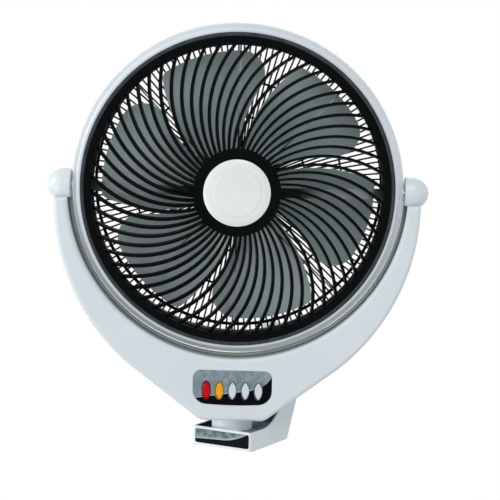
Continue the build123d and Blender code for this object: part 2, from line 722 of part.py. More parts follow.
# Control panel, buttons and what is behind them
def leaf(grow=0.0):
    # A pointed leaf: two arcs that meet at the top and bottom.
    half_w = button_half_width + grow
    half_h = button_half_height + grow * button_half_height / button_half_width
    return make_face([ThreePointArc((0, -half_h), (half_w, 0), (0, half_h)),
                      ThreePointArc((0, half_h), (-half_w, 0), (0, -half_h))])


def button_places():
    first = -(len(button_names) - 1) / 2
    return [((first + index) * button_pitch, panel_y - button_drop) for index in range(len(button_names))]


def control_panel():
    flange_low = panel_flange_z - panel_flange_thick
    body = extrude(Pos(0, 0, flange_low) * panel_face(panel_flange), panel_flange_thick)
    body += extrude(Pos(0, 0, panel_flange_z) * panel_face(-seat_gap), panel_front_z - panel_flange_z)
    for x, y in button_places():
        body -= extrude(Pos(x, y, flange_low) * leaf(button_gap), panel_front_z - flange_low)
    for side in (-1, 1):
        rail = Pos(side * (board_half - rail_thick / 2), panel_y, (flange_low + board_top_z) / 2)
        body += rail * Box(rail_thick, board_height, flange_low - board_top_z)
    return body


def button(place):
    x, y = place
    top = extrude(Pos(x, y, button_base_z) * leaf(), panel_front_z + button_proud - button_base_z)
    rim = top.edges().filter_by_position(Axis.Z, panel_front_z + button_proud, panel_front_z + button_proud)
    top = chamfer(rim, button_edge)
    base = Pos(x, y, button_base_z - button_base_thick / 2) * Box(2 * (button_half_width + button_base_rim),
                                                                  2 * (button_half_height + button_base_rim),
                                                                  button_base_thick)
    return top + base


def circuit_board():
    return Pos(0, panel_y, board_z + board_thick / 2) * Box(2 * board_half, board_height, board_thick)


def key_switches():
    pieces = []
    for x, y in button_places():
        case = Pos(x, y, board_top_z + switch_height / 2) * Box(switch_side, switch_side, switch_height)
        plunger_low_z = board_top_z + switch_height
        pieces.append(case + Pos(x, y, (plunger_low_z + plunger_top_z) / 2)
                      * Box(switch_plunger, switch_plunger, plunger_top_z - plunger_low_z))
    return group(pieces)


# Stem and its drive
def stem():
    foot_y = gear_top_y
    body = extrude(Pos(0, foot_y, 0) * stem_ellipse(0), neck_bottom_y - foot_y, dir=(0, 1, 0))
    body += extrude(Pos(0, neck_bottom_y, 0) * stem_ellipse(spigot_inset), spigot_height, dir=(0, 1, 0))
    journal_plane = Plane(origin=(0, floor_top_y, -stem_back), x_dir=(1, 0, 0), z_dir=(0, 1, 0))
    return body + extrude(journal_plane * Circle(journal_r), foot_y - floor_top_y)


def tooth(teeth, pitch_r):
    # One trapezoid tooth on the +x side, a little slimmer than its pitch allows.
    addendum = gear_module
    dedendum = gear_module * 1.2
    half = math.pi * gear_module / 4 - tooth_slack
    flare = math.tan(math.radians(20))
    tip_half = half - addendum * flare
    root_half = half + dedendum * flare
    root_x = pitch_r - dedendum - gear_module / 4
    return make_face(Polyline((root_x, -root_half), (pitch_r + addendum - tooth_slack, -tip_half),
                              (pitch_r + addendum - tooth_slack, tip_half), (root_x, root_half), close=True))


def swing_gear():
    # A toothed sector towards the pinion on a plain disc, drawn about z.
    root_r = gear_pitch_r - gear_module * 1.2
    sector_half = gear_sector_teeth / 2 * 360 / gear_teeth
    start = polar(root_r, gear_heading - sector_half)
    end = polar(root_r, gear_heading + sector_half)
    middle = polar(root_r, gear_heading)
    wedge = make_face([Line((0, 0), start), ThreePointArc(start, middle, end), Line(end, (0, 0))])
    plan = wedge + Circle(gear_disc_r)
    for index in range(gear_sector_teeth):
        degrees = gear_heading + (index - (gear_sector_teeth - 1) / 2) * 360 / gear_teeth
        plan += Rot(0, 0, degrees) * tooth(gear_teeth, gear_pitch_r)
    return extrude(plan - Circle(journal_r), gear_thick)


def swing_pinion():
    # The gap of the pinion faces the gear when a tooth of the gear points at it.
    plan = Circle(pinion_pitch_r - gear_module * 1.2)
    for index in range(pinion_teeth):
        plan += Rot(0, 0, (index + 0.5) * 360 / pinion_teeth) * tooth(pinion_teeth, pinion_pitch_r)
    wheel = extrude(plan, gear_thick)
    return wheel + disc(pinion_shaft_r, -seat_gap, 0)


def pinion_phase():
    # Turns the pinion so that one of its gaps takes the gear's tooth nearest to it.
    pitch = 360 / gear_teeth
    off = (swing_rest + pitch * (gear_sector_teeth - 1) / 2) % pitch
    if off > pitch / 2:
        off -= pitch
    return -gear_heading - off * gear_teeth / pinion_teeth


def swing_motor():
    top = gear_low_y - seat_gap
    low = top - swing_motor_height
    body = Pos(0, pinion_back + swing_motor_offset, 0) * disc(swing_motor_r, low, top)
    neck = Pos(0, pinion_back, 0) * disc(pinion_shaft_r * 2, low + swing_motor_height / 2, top)
    bore = Pos(0, pinion_back, 0) * disc(pinion_shaft_r + run_gap, top - gear_thick, top + cut_over)
    return body + neck - bore


# Bracket: side profile in (y, z) from the stem's axis
def yz(points):
    # Points of a side profile as places in the middle plane.
    return [(0, y, z) for y, z in points]


def sweep_points(drop=0.0):
    # The side wall's top edge, from the tray's rim up to the riser.
    points = []
    for depth, rise in zip(sweep_depth_shares, sweep_rise_shares):
        points.append((depth * riser_front, tray_rim_y + rise * sweep_rise - drop))
    return points


def bracket_profile():
    rise = sweep_points()
    start = (sweep_start_share * riser_front, tray_rim_y)
    riser_top = (riser_front + tray_wall, tray_rim_y + sweep_rise)
    lean_top = (riser_top[0] + riser_lean, arm_top_y - riser_bevel)
    elbow_high = (arm_elbow_top, arm_top_y)
    end_y = wall_reach - plate_thick
    path = [Line(*yz([(-tray_front, tray_floor_y), (-tray_front, tray_rim_y)])),
            Line(*yz([(-tray_front, tray_rim_y), start])),
            Spline(*yz([start] + rise + [riser_top])),
            Line(*yz([riser_top, lean_top])),
            Line(*yz([lean_top, elbow_high])),
            Line(*yz([elbow_high, (end_y, arm_top_y)])),
            Line(*yz([(end_y, arm_top_y), (end_y, arm_bottom_y)])),
            Line(*yz([(end_y, arm_bottom_y), (arm_elbow_bottom, arm_bottom_y)])),
            Line(*yz([(arm_elbow_bottom, arm_bottom_y), (tray_rear, tray_floor_y)])),
            Line(*yz([(tray_rear, tray_floor_y), (-tray_front, tray_floor_y)]))]
    return path


def sideways(lines, half):
    # Extrude a side profile to both sides of the middle.
    return extrude(make_face(lines), half, dir=(1, 0, 0), both=True)


def bracket_shell():
    outer = sideways(bracket_profile(), tray_half)
    upright = outer.edges().filter_by(Axis.Z).filter_by_position(Axis.Y, -tray_front, -tray_front)
    outer = fillet(upright, tray_corner_r)
    wall = tray_wall
    riser_in = riser_front + wall
    end_y = wall_reach - plate_thick
    slant = (arm_elbow_bottom - tray_rear) / (arm_bottom_y - tray_floor_y)
    rear_in = tray_rear - tray_rear_wall
    lean_in = riser_in + wall + riser_lean
    inside = [(-tray_front + wall, tray_floor_y - cut_over), (rear_in - slant * cut_over, tray_floor_y - cut_over),
              (rear_in, tray_floor_y), (arm_elbow_bottom - wall, arm_bottom_y + wall),
              (end_y, arm_bottom_y + wall), (end_y, arm_top_y - wall), (arm_elbow_top + wall, arm_top_y - wall),
              (lean_in, arm_top_y - riser_bevel - wall), (riser_in + wall, tray_rim_y + sweep_rise - wall),
              (riser_in, liner_y), (-tray_front + wall, liner_y)]
    cavity = extrude(make_face(Polyline(*yz(inside), close=True)), tray_half - wall, dir=(1, 0, 0), both=True)
    mouth = [(-tray_front + wall, liner_y - wall), (riser_front, liner_y - wall), (riser_front, arm_top_y),
             (-tray_front + wall, arm_top_y)]
    opening = extrude(make_face(Polyline(*yz(mouth), close=True)), tray_half - wall, dir=(1, 0, 0), both=True)
    flange_y = wall_reach - flange_depth / 2
    flange = Pos(0, flange_y, -head_rise) * Box(2 * flange_half_width, flange_depth, 2 * flange_half_height)
    flange = fillet(flange.edges().filter_by(Axis.Y), flange_corner_r)
    recess = Pos(0, flange_y + wall, -head_rise) * Box(2 * (flange_half_width - wall), flange_depth,
                                                       2 * (flange_half_height - wall))
    recess = fillet(recess.edges().filter_by(Axis.Y), flange_corner_r - wall)
    body = outer + flange - recess - cavity - opening
    for x, y in tray_posts():
        body += Pos(x, y, 0) * disc(post_side_r, floor_top_y, liner_y - liner_wall)
    pocket = Pos(0, -tray_front, (tray_rim_y + tray_floor_y) / 2) * badge_block(badge_thick + seat_gap, seat_gap)
    return body - pocket


def tray_posts():
    x = tray_half - post_inset
    return [(side * x, y) for side in (-1, 1) for y in (-tray_front + post_inset, riser_front - post_inset)]


def badge_block(depth, grow):
    # The plate's outline on the front wall, going in by depth from y = 0.
    plan = RectangleRounded(2 * (badge_half + grow), badge_height + 2 * grow, badge_corner_r + grow)
    return extrude(Rot(90, 0, 0) * plan, -depth)


def badge_plate():
    return Pos(0, -tray_front + seat_gap, (tray_rim_y + tray_floor_y) / 2) * badge_block(badge_thick, 0)


def bracket_floor():
    half = tray_half - tray_wall - seat_gap
    front = -tray_front + tray_wall + seat_gap
    rear = tray_rear - tray_rear_wall - floor_short
    plate = Pos(0, (front + rear) / 2, tray_floor_y + floor_thick / 2) * Box(2 * half, rear - front, floor_thick)
    plate += disc(bearing_post_r, floor_top_y, thrust_top_y - thrust_thick)
    plate -= disc(journal_r + run_gap, floor_top_y, thrust_top_y)
    return plate


def swing_bearing():
    return tube(thrust_r, journal_r + run_gap * 5, thrust_top_y - thrust_thick, thrust_top_y)


def tray_liner():
    wall = liner_wall
    half = tray_half - tray_wall - seat_gap
    front = -tray_front + tray_wall + seat_gap
    rear = riser_front - seat_gap
    points = sweep_points(liner_drop * 2)
    start = (sweep_start_share * riser_front, liner_y)
    top = (rear, tray_rim_y + sweep_rise - liner_drop * 4)
    lines = [Line(*yz([(front, liner_y - wall), (front, liner_y)])), Line(*yz([(front, liner_y), start])),
             Spline(*yz([start] + points + [top])), Line(*yz([top, (rear, liner_y - wall)])),
             Line(*yz([(rear, liner_y - wall), (front, liner_y - wall)]))]
    block = sideways(lines, half)
    mouth_rear = rear - wall
    inner = Pos(0, (front + mouth_rear) / 2 - cut_over, liner_y + sweep_rise) * Box(2 * (half - wall),
                                                                                    mouth_rear - front
                                                                                    + 2 * cut_over,
                                                                                    2 * sweep_rise)
    body = block - inner
    box_mid = mouth_rear - motor_box_depth / 2
    body += Pos(0, box_mid, liner_y + motor_box_height / 2 - wall) * Box(2 * motor_box_half, motor_box_depth,
                                                                          motor_box_height)
    hole = disc(stem_half_width + seat_gap * 3, liner_y - cut_over, liner_y + cut_over)
    return body - hole


def wall_plate():
    half_x = flange_half_width - tray_wall - seat_gap
    half_z = flange_half_height - tray_wall - seat_gap
    plate = Box(2 * half_x, plate_thick, 2 * half_z)
    plate = fillet(plate.edges().filter_by(Axis.Y), flange_corner_r - tray_wall - seat_gap)
    for side_x in (-1, 1):
        for side_z in (-1, 1):
            hole = Pos(side_x * hole_half_x, 0, side_z * hole_half_z) * Rot(90, 0, 0) * Cylinder(hole_r,
                                                                                               2 * plate_thick)
            plate -= hole
    return Pos(0, -plate_thick / 2, 0) * plate


# Write every node
save("wall_plate", wall_plate())
save("bracket_shell", bracket_shell(), bracket_pose)
save("bracket_floor", bracket_floor(), bracket_pose)
save("tray_liner", tray_liner(), bracket_pose)
save("badge_plate", badge_plate(), bracket_pose)
save("swing_bearing", swing_bearing(), bracket_pose)
save("swing_motor", swing_motor(), bracket_pose)
save("swing_pinion", Pos(0, pinion_back, gear_low_y) * Rot(0, 0, pinion_phase()) * swing_pinion(), bracket_pose)

save("stem", stem(), yoke_pose)
gear_pose = yoke_pose * Pos(0, gear_low_y, -stem_back) * Rot(-90, 0, 0)
save("swing_gear", swing_gear(), gear_pose)
save("yoke_front_shell", yoke_front_shell(), yoke_pose)
save("yoke_rear_shell", yoke_rear_shell(), yoke_pose)
save("control_panel", control_panel(), yoke_pose)
save("circuit_board", circuit_board(), yoke_pose)
save("key_switches", key_switches(), yoke_pose)
for button_name, button_place in zip(button_names, button_places()):
    save(button_name, button(button_place), yoke_pose)

save("pivot_caps", both_sides(pivot_cap()), yoke_pose)
save("pivot_pins", both_sides(pivot_pin()), yoke_pose)

save("shroud", shroud(), head_pose)
save("bezel_ring", bezel_ring(), head_pose)
save("front_grille", front_grille(), head_pose)
save("grille_spider", grille_spider(), head_pose)
save("hub_cap", hub_cap(), head_pose)
save("rear_grille", rear_grille(), head_pose)
save("motor_case", motor_case(), head_pose)
save("motor_cover", motor_cover(), head_pose)

save("impeller", impeller(), head_pose)
save("motor_shaft", disc(shaft_r, motor_rear_z, shaft_front_z), head_pose)
save("blade_nut", blade_nut(), head_pose)
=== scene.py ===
# %% [markdown]
# # A wall fan, dressed for the camera
# The solid model of the fan is already made: every shell, blade and button is a closed solid in
# its place. This script gives those solids their finishes, adds the small things that a solid
# model leaves out, and sets up light and camera. Every piece keeps the real size of the fan.

# %% Load the solid model
import json
import math

import bmesh
import bpy
from mathutils import Matrix, Vector


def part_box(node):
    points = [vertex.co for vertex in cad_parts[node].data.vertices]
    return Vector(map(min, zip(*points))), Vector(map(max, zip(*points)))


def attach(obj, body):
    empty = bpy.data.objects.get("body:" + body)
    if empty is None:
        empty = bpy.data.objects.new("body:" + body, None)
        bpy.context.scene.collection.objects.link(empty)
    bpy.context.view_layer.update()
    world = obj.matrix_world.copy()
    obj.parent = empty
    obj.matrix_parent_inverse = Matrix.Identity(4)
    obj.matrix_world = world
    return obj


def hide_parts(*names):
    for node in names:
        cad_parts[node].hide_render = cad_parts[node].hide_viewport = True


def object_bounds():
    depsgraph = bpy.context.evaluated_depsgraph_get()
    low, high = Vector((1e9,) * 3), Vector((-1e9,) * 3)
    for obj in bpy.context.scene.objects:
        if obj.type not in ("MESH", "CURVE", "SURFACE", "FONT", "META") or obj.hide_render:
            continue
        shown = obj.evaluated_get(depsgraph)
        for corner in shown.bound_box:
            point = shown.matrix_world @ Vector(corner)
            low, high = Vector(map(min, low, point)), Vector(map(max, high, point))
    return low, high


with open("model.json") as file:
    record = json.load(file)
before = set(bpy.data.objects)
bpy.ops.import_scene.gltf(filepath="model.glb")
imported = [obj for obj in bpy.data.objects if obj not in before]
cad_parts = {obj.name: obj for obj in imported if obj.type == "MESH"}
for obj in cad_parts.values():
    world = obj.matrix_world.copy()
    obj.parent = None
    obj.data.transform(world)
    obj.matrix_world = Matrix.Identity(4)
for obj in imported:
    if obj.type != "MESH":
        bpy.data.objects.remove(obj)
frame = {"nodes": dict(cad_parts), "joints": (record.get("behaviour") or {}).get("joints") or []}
cad_low, cad_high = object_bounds()
nodes = frame["nodes"]
print("solids:", len(nodes), "box:", [round(v, 3) for v in cad_low], [round(v, 3) for v in cad_high])

# %% [markdown]
# ## Where things are
# A swinging fan is easiest to describe in its own frames. One frame belongs to the yoke: x to the
# viewer's right, y up, z out of the face, with its origin between the two pivots. The head's frame
# is the same one tilted a little further. Both are read from the joints of the solid model, so a
# change of size in the model moves everything here with it.

# %% Frames of the yoke and of the head
joints = {joint["name"]: joint for joint in frame["joints"]}
head_centre = Vector(joints["tilt"]["pos_m"])
face_right = Vector(joints["tilt"]["axis"]).normalized()
head_forward = Vector(joints["fan_spin"]["axis"]).normalized()
world_up = Vector((0, 0, 1))
yoke_forward = face_right.cross(world_up).normalized()
head_up = head_forward.cross(face_right).normalized()


def face_frame(right, up, forward, origin):
    # A matrix that takes x, y, z of a face frame to the model's frame.
    frame_matrix = Matrix((right, up, forward)).transposed().to_4x4()
    return Matrix.Translation(origin) @ frame_matrix


yoke_frame = face_frame(face_right, world_up, yoke_forward, head_centre)
head_frame = face_frame(face_right, head_up, head_forward, head_centre)
print("head centre", [round(v, 4) for v in head_centre], "forward", [round(v, 3) for v in head_forward])

# %% [markdown]
# ## Helpers for materials
# Every finish starts from the Principled shader. What is the same all over a surface is set on the
# shader's own sockets. What varies, such as a slight mottling or the fine grain of a mould, is a
# noise on Object coordinates, which stay with the piece when it moves. A painted picture could do
# the same, but it would have to be unwrapped round every piece and would blur when seen closely.

# %% A finish and its nodes
def new_finish(name, colour, roughness, **sockets):
    # A Principled material with one flat colour, ready for patterns.
    finish = bpy.data.materials.new(name)
    finish.use_nodes = True
    shader = finish.node_tree.nodes["Principled BSDF"]
    shader.inputs["Base Color"].default_value = (*colour, 1)
    shader.inputs["Roughness"].default_value = roughness
    for key, value in sockets.items():
        shader.inputs[key.replace("_", " ")].default_value = value
    print("finish:", name)
    return finish


def add_node(finish, kind, **settings):
    node = finish.node_tree.nodes.new(kind)
    for key, value in settings.items():
        setattr(node, key, value)
    return node


def link(finish, source, target):
    finish.node_tree.links.new(source, target)


def into_shader(finish, source, socket):
    # Lead a pattern into one of the shader's own sockets.
    link(finish, source, finish.node_tree.nodes["Principled BSDF"].inputs[socket])


def object_place(finish):
    # The Object coordinates that every pattern here reads.
    return add_node(finish, "ShaderNodeTexCoord").outputs["Object"]


def grey(level):
    return (level, level, level)


# %% Clouds of tone and the grain of a mould
cloud_scale = 9.0           # waves per metre of a slow change of tone
cloud_detail = 3.0
cloud_stops = (0.35, 0.65)  # values of the noise that are fully dark and fully light
fine_scale = 900.0          # waves per metre of a mould's grain
fine_detail = 2.0
grain_depth = 0.0002        # metres


def noise_on(finish, scale, detail):
    noise = add_node(finish, "ShaderNodeTexNoise")
    noise.inputs["Scale"].default_value = scale
    noise.inputs["Detail"].default_value = detail
    link(finish, object_place(finish), noise.inputs["Vector"])
    return noise.outputs["Fac"]


def clouds(finish, tones, scale=cloud_scale, detail=cloud_detail, stops=cloud_stops):
    # Slow changes between two close tones, a dark one and a light one.
    ramp = add_node(finish, "ShaderNodeValToRGB")
    for stop, place, tone in zip(ramp.color_ramp.elements, stops, tones):
        stop.position = place
        stop.color = (*tone, 1)
    link(finish, noise_on(finish, scale, detail), ramp.inputs["Fac"])
    return ramp.outputs["Color"]


def grain_bump(finish, strength=0.06):
    # The fine grain that a mould leaves on plastic, as a very low bump.
    bump = add_node(finish, "ShaderNodeBump")
    bump.inputs["Strength"].default_value = strength
    bump.inputs["Distance"].default_value = grain_depth
    link(finish, noise_on(finish, fine_scale, fine_detail), bump.inputs["Height"])
    into_shader(finish, bump.outputs["Normal"], "Normal")


def moulded(name, colour, tones, roughness, scale=cloud_scale, grain=0.06, **sockets):
    # A moulded piece: clouds between two tones close to its colour, and the mould's grain.
    finish = new_finish(name, colour, roughness, **sockets)
    into_shader(finish, clouds(finish, tones, scale), "Base Color")
    grain_bump(finish, grain)
    return finish


# %% [markdown]
# ## The plastics
# The shroud, the yoke and the bracket are one pale grey plastic with a soft gloss. The stem is a
# moulding of its own, painted paler as painted light against the shade under the yoke's neck, and
# the two knobs are mouldings of their own and a little paler. The grille, its ring and the ribs
# behind are a dull black, and the blades a smoky grey under a clear gloss. One flat colour each
# would do from afar, but a large moulding is never one exact colour. So each plastic gets a slow
# cloud of tone and a fine grain, both from noises, and a clear coat where the real piece shines.

# %% The pale plastics
pale_colour = (0.69, 0.75, 0.785)
pale_tones = ((0.675, 0.737, 0.772), (0.705, 0.765, 0.80))
# The stem's paler tones are painted light, against the shade under the yoke's neck.
stem_lit_tones = ((0.85, 0.915, 0.945), (0.87, 0.94, 0.97))
knob_tones = ((0.685, 0.747, 0.777), (0.715, 0.773, 0.803))
cap_tones = ((0.775, 0.825, 0.81), (0.805, 0.855, 0.84))
pale_gloss = {"roughness": 0.38, "Coat_Weight": 0.12, "Coat_Roughness": 0.3}

pale_plastic = moulded("pale moulded plastic", pale_colour, pale_tones, **pale_gloss)
# The stem gets painted light: a paler copy of the pale plastic.
stem_painted_light = moulded("pale plastic with painted light", (0.86, 0.93, 0.96), stem_lit_tones, **pale_gloss)
knob_plastic = moulded("knob plastic", (0.7, 0.76, 0.79), knob_tones, 0.35,
                       Coat_Weight=0.2, Coat_Roughness=0.25)
cap_plastic = moulded("white gloss cap", (0.79, 0.84, 0.825), cap_tones, 0.25,
                      scale=14.0, grain=0.03, Coat_Weight=0.4, Coat_Roughness=0.1)

# %% The dark plastics
soot_colour = (0.0025, 0.0036, 0.0035)
soot_tones = ((0.002, 0.003, 0.0029), (0.003, 0.0042, 0.0041))
cover_tones = ((0.08, 0.09, 0.094), (0.1, 0.112, 0.118))
blade_tones = ((0.42, 0.515, 0.52), (0.53, 0.65, 0.655))
dull_level = 0.03           # Specular IOR Level, which is 0.5 on a plain plastic

black_plastic = moulded("black gloss plastic", soot_colour, soot_tones, 0.35,
                        grain=0.04, Specular_IOR_Level=dull_level)
rib_plastic = moulded("black satin plastic", soot_colour, soot_tones, 0.45,
                      scale=30.0, grain=0.05, Specular_IOR_Level=dull_level)
cover_plastic = moulded("smoky grey plastic", (0.09, 0.1, 0.105), cover_tones, 0.3,
                        scale=30.0, grain=0.04, Specular_IOR_Level=0.15)
blade_plastic = moulded("smoky blade plastic", (0.47, 0.575, 0.58), blade_tones, 0.35,
                        scale=7.0, grain=0.03, Coat_Weight=1.0, Coat_Roughness=0.26)

# %% [markdown]
# ## The pieces inside
# The key switches, the circuit board and most of the swing drive are hidden once the covers are on.
# They are plain mouldings and a green laminate, so they share the same recipe with finer clouds.

# %% The pieces inside
switch_tones = ((0.01, 0.0125, 0.015), (0.015, 0.019, 0.022))
nylon_tones = ((0.69, 0.67, 0.61), (0.75, 0.73, 0.67))
board_tones = ((0.025, 0.1, 0.035), (0.035, 0.14, 0.05))

switch_grey = moulded("dark blue grey moulding", (0.012, 0.015, 0.018), switch_tones, 0.5,
                      scale=20.0, grain=0.08, Specular_IOR_Level=0.1)
nylon = moulded("natural nylon", (0.72, 0.7, 0.64), nylon_tones, 0.5, scale=40.0, grain=0.05)
green_board = moulded("green laminate", (0.03, 0.12, 0.04), board_tones, 0.4, scale=120.0, grain=0.05)

# %% [markdown]
# ## The metals
# Little metal shows on this fan: the pivot pins, the shaft, the motor's can and the wall plate. A
# drawn can and a rolled plate have a fine mottled surface, so their roughness varies with a noise.
# A change of colour would look like dirt, while a change of roughness only moves the highlights.

# %% The metals
def metal(name, level, roughness, rough_range, scale, grain, metallic=1.0):
    # A grey metal whose roughness wanders within a range.
    finish = new_finish(name, grey(level), roughness, Metallic=metallic)
    spread = add_node(finish, "ShaderNodeMapRange")
    for socket, value in zip(("To Min", "To Max"), rough_range):
        spread.inputs[socket].default_value = value
    link(finish, noise_on(finish, scale, fine_detail), spread.inputs["Value"])
    into_shader(finish, spread.outputs["Result"], "Roughness")
    grain_bump(finish, grain)
    return finish


bright_steel = metal("bright steel", 0.6, 0.25, (0.18, 0.38), scale=200.0, grain=0.03)
motor_metal = metal("drawn motor can", 0.5, 0.4, (0.3, 0.5), scale=60.0, grain=0.05)
plate_metal = metal("zinc coated plate", 0.55, 0.45, (0.35, 0.6), scale=90.0, grain=0.08, metallic=0.8)

# %% [markdown]
# ## Buttons
# Five leaf-shaped buttons: red for off, amber for swing and three white ones for the speeds. Each
# is a small glossy moulding, too small for a change of tone to show, so a flat colour and a very
# fine grain are enough. The lamps shade its curved face.

# %% Buttons
def button_finish(name, colour):
    finish = new_finish(name, colour, 0.3, Specular_IOR_Level=0.12)
    grain_bump(finish, 0.02)
    return finish


button_red = button_finish("red button", (0.58, 0.0015, 0.004))
button_amber = button_finish("amber button", (0.85, 0.4, 0.02))
button_white = button_finish("white button", (0.66, 0.72, 0.76))

# %% [markdown]
# ## Places on a piece
# Some patterns follow a shape, such as a sweep across the panel or a band round the ring. They need
# to know where on the piece a point lies. A Mapping node turns Object coordinates into a face frame,
# and small sums on its x, y and z then make a gradient or a mask. Nothing has to be unwrapped, and
# the edge of a mask is sharp from any distance.

# %% Places on a piece
def face_place(finish, matrix):
    # Object coordinates turned into a face frame, in metres.
    turn = add_node(finish, "ShaderNodeMapping", vector_type="TEXTURE")
    place, rotation, _ = matrix.decompose()
    turn.inputs["Location"].default_value = place
    turn.inputs["Rotation"].default_value = rotation.to_euler()
    link(finish, object_place(finish), turn.inputs["Vector"])
    return turn.outputs["Vector"]


def split_axes(finish, vector):
    parts = add_node(finish, "ShaderNodeSeparateXYZ")
    link(finish, vector, parts.inputs["Vector"])
    return parts.outputs["X"], parts.outputs["Y"], parts.outputs["Z"]


def math_node(finish, operation, first, second=0.0):
    node = add_node(finish, "ShaderNodeMath", operation=operation)
    for socket, value in zip(node.inputs, (first, second)):
        if isinstance(value, (int, float)):
            socket.default_value = value
        else:
            link(finish, value, socket)
    return node.outputs["Value"]


def radius_of(finish, matrix):
    # Distance from the z axis of a face frame, for bands on turned pieces.
    x, y, _ = split_axes(finish, face_place(finish, matrix))
    across = math_node(finish, "MULTIPLY", x, x)
    upright = math_node(finish, "MULTIPLY", y, y)
    return math_node(finish, "SQRT", math_node(finish, "ADD", across, upright))


# %% Colours by place
def mix_colours(finish, factor, first, second):
    # The second colour where the factor is 1. Each is a tuple or another node's colour.
    mix = add_node(finish, "ShaderNodeMix", data_type="RGBA")
    link(finish, factor, mix.inputs["Factor"])
    for socket, value in ((mix.inputs[6], first), (mix.inputs[7], second)):
        if isinstance(value, tuple):
            socket.default_value = (*value, 1)
        else:
            link(finish, value, socket)
    return mix.outputs[2]


def flecked_tones(finish, tones, scale):
    # Clouds with harder edges, as in a flecked ink or a rubbed surface.
    return clouds(finish, tones, scale, detail=4.0, stops=(0.38, 0.62))


# %% [markdown]
# ## The printed panel
# Behind the buttons lies a glossy film, silver above and black below, with the border rising to
# the right in a sweep and two thin silver lines that follow it. The border is a curve in the
# panel's own plane, so the pattern is worked out from the face frame's x and y. A point is silver
# when it lies above the curve, and on a line when it lies at that line's height above it.

# %% A film with a sweep and lines
film_black = (0.002, 0.003, 0.0045)
fleck_scale = 110.0         # waves per metre of the silver ink


def sweep_height(finish, x, sweep):
    # A border that climbs evenly at first and then curls up towards the right.
    along = math_node(finish, "SUBTRACT", x, sweep["start_x"])
    run = math_node(finish, "MULTIPLY", along, sweep["slope"])
    past = math_node(finish, "SUBTRACT", x, sweep["curl_x"])
    share = math_node(finish, "DIVIDE", past, sweep["curl_reach"])
    share = math_node(finish, "MAXIMUM", share, 0.0)
    bent = math_node(finish, "POWER", share, sweep["curl_power"])
    curl = math_node(finish, "MULTIPLY", bent, sweep["curl_lift"])
    return math_node(finish, "ADD", math_node(finish, "ADD", run, curl), sweep["start_y"])


def printed_film(name, matrix, sweep, silver_tones, lines):
    # Each line is (height above the border, half its width, where it ends in x, tone).
    finish = new_finish(name, grey(0.3), 0.3, Specular_IOR_Level=dull_level)
    x, y, _ = split_axes(finish, face_place(finish, matrix))
    above = math_node(finish, "SUBTRACT", y, sweep_height(finish, x, sweep))
    is_silver = math_node(finish, "GREATER_THAN", above, 0.0)
    silver = flecked_tones(finish, silver_tones, fleck_scale)
    colour = mix_colours(finish, is_silver, film_black, silver)
    for height, half, end_x, tone in lines:
        apart = math_node(finish, "ABSOLUTE", math_node(finish, "SUBTRACT", above, height))
        on_line = math_node(finish, "LESS_THAN", apart, half)
        on_line = math_node(finish, "MULTIPLY", on_line, math_node(finish, "LESS_THAN", x, end_x))
        colour = mix_colours(finish, on_line, colour, tone)
    into_shader(finish, colour, "Base Color")
    grain_bump(finish, 0.02)
    return finish


# %% The printed panel
panel_low, panel_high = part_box("control_panel")
panel_y = (panel_low.z + panel_high.z) / 2 - head_centre.z
panel_frame = yoke_frame @ Matrix.Translation((0, panel_y, 0))
panel_sweep = {"start_x": -0.052, "start_y": -0.0145, "slope": 0.149,
               "curl_x": 0.024, "curl_reach": 0.0335, "curl_power": 2.9, "curl_lift": 0.0155}
panel_silver = ((0.19, 0.245, 0.275), (0.28, 0.35, 0.385))
panel_lines = ((0.0002, 0.0006, 0.028, (0.55, 0.62, 0.64)),
               (0.0016, 0.0008, -0.028, (0.03, 0.04, 0.045)),
               (0.0028, 0.0005, -0.03, (0.5, 0.57, 0.58)))
panel_film = printed_film("silver and black film", panel_frame, panel_sweep, panel_silver, panel_lines)
print("panel centre below the pivots", round(panel_y, 4))

# %% [markdown]
# ## The bracket's plate
# The tray's front carries a small plate with the same kind of print, darker and with a flatter
# sweep. The film's function serves it too, in a frame that looks straight at the plate.

# %% The bracket's plate
badge_low, badge_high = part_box("badge_plate")
badge_centre = (badge_low + badge_high) / 2
badge_frame = face_frame(Vector((1, 0, 0)), Vector((0, 0, 1)), Vector((0, -1, 0)), badge_centre)
badge_sweep = {"start_x": -0.045, "start_y": -0.004, "slope": 0.05,
               "curl_x": 0.005, "curl_reach": 0.038, "curl_power": 1.8, "curl_lift": 0.011}
badge_silver = ((0.09, 0.125, 0.135), (0.22, 0.29, 0.3))
badge_lines = ((0.0003, 0.0007, 0.042, (0.45, 0.52, 0.53)),
               (0.0024, 0.0004, 0.04, (0.36, 0.42, 0.43)))
badge_film = printed_film("silver and black badge", badge_frame, badge_sweep, badge_silver, badge_lines)
print("plate centre", [round(v, 4) for v in badge_centre])

# %% [markdown]
# ## The front ring and its bead
# The black ring in front of the grille has a raised bead round its outer edge, which is a flecked
# blue grey. The ring is one solid, so the bead could only get a material of its own if its faces
# were picked out. A mask on the distance from the head's axis finds it instead.

# %% The front ring and its bead
bead_width = 0.0053         # metres, from the ring's outer edge inwards
bead_scale = 60.0
bead_tones = ((0.04, 0.047, 0.056), (0.058, 0.067, 0.079))


def ring_finish():
    finish = new_finish("black ring with grey bead", soot_colour, 0.35, Specular_IOR_Level=dull_level)
    low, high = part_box("bezel_ring")
    bead_inner = (high.z - low.z) / 2 - bead_width
    beyond = math_node(finish, "SUBTRACT", radius_of(finish, head_frame), bead_inner)
    on_bead = math_node(finish, "GREATER_THAN", beyond, 0.0)
    bead = flecked_tones(finish, bead_tones, bead_scale)
    into_shader(finish, mix_colours(finish, on_bead, soot_colour, bead), "Base Color")
    grain_bump(finish, 0.04)
    print("bead begins at radius", round(bead_inner, 4))
    return finish


ring_plastic = ring_finish()
